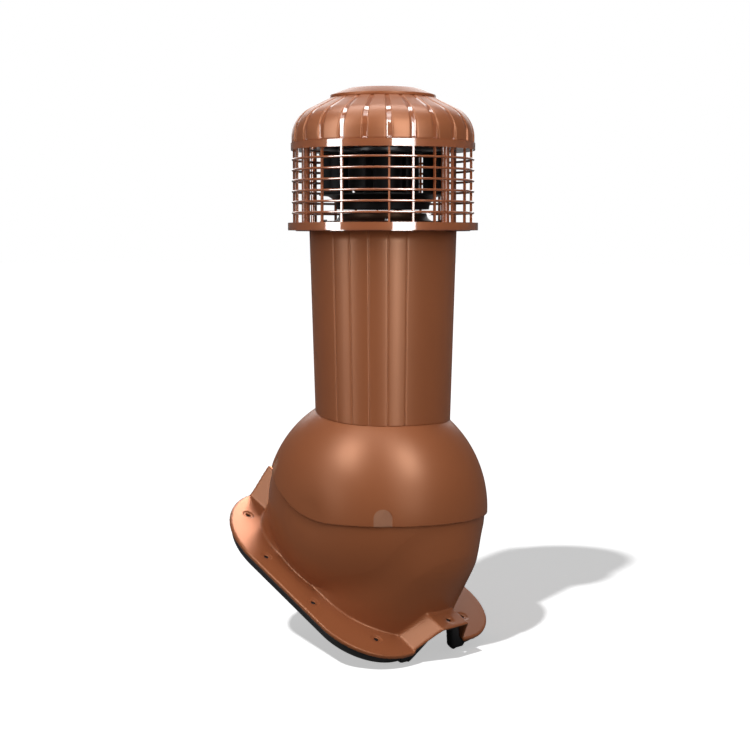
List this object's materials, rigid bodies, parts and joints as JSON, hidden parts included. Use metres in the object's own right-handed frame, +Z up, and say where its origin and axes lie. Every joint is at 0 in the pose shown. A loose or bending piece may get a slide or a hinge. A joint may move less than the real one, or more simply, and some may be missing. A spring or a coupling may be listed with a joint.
{
  "type": "roof exhaust fan",
  "caption": "Roof exhaust fan on a ball-jointed chimney: ribbed hood, ring grille and backward-curved impeller over an insulated pipe, with a base for profiled sheet roofs.",
  "frame": {"origin": "on the roof sheet's plane, straight under the ball joint's centre measured square to the slope", "axes": "+X across the slope, +Y level and towards the ridge, +Z up along the chimney; the roof sheet rises towards +Y at 30 degrees"},
  "size_m": [0.29, 0.3433, 0.7253],
  "materials": {
    "copper_plastic": "semi-gloss moulded polypropylene, copper brown",
    "dark_plastic": "satin moulded polypropylene, dark brown",
    "black_plastic": "gloss moulded polyamide",
    "black_paint": "black powder coat on deep-drawn steel",
    "black_rubber": "matt EPDM",
    "foam": "closed-cell foam",
    "galvanised_steel": "zinc-coated sheet",
    "stainless_steel": "satin stainless",
    "electrical_steel": "stacked laminations",
    "cast_aluminium": "die-cast",
    "enamelled_copper": "enamelled winding wire",
    "white_plastic": "smooth moulded case",
    "cable_sheath": "matt flexible sheath"
  },
  "bodies": {
    "roof_base": {"base_shell": "copper_plastic", "roof_seal": "black_rubber", "rib_seals": "black_rubber"},
    "chimney": {"ball_cover": "copper_plastic", "outer_pipe": "copper_plastic", "insulation_sleeve": "foam", "inner_duct": "galvanised_steel", "offset_adapter": "dark_plastic", "duct_spigot": "galvanised_steel", "fan_base": "copper_plastic", "inlet_nozzle": "dark_plastic", "nozzle_screws": "stainless_steel", "grille_cage": "copper_plastic", "posts": "copper_plastic", "post_screws": "stainless_steel", "top_ring": "copper_plastic", "motor_plate": "galvanised_steel", "motor_flange": "cast_aluminium", "motor_screws": "stainless_steel", "stator_core": "electrical_steel", "stator_windings": "enamelled_copper", "motor_bearings": "stainless_steel", "terminal_box": "black_plastic", "terminal_lid": "black_plastic", "run_capacitor": "white_plastic", "capacitor_clip": "stainless_steel", "hood": "copper_plastic", "cap_lid": "copper_plastic", "cable_conduit": "copper_plastic", "motor_cable": "cable_sheath", "conduit_grommet": "black_rubber"},
    "impeller": {"motor_shaft": "stainless_steel", "rotor_bell": "black_paint", "rotor_ring": "electrical_steel", "impeller_wheel": "black_plastic", "impeller_ring": "black_plastic", "impeller_rivets": "stainless_steel"}
  },
  "joints": [
    {"name": "ball_tilt", "type": "hinge", "parent": "roof_base", "child": "chimney", "pos_m": [0, -0.057, 0.09873], "axis": [1, 0, 0], "range_deg": [-15, 0]},
    {"name": "impeller_spin", "type": "hinge", "parent": "chimney", "child": "impeller", "pos_m": [0, -0.0692, 0.53073], "axis": [0, 0, 1], "continuous": true}
  ]
}
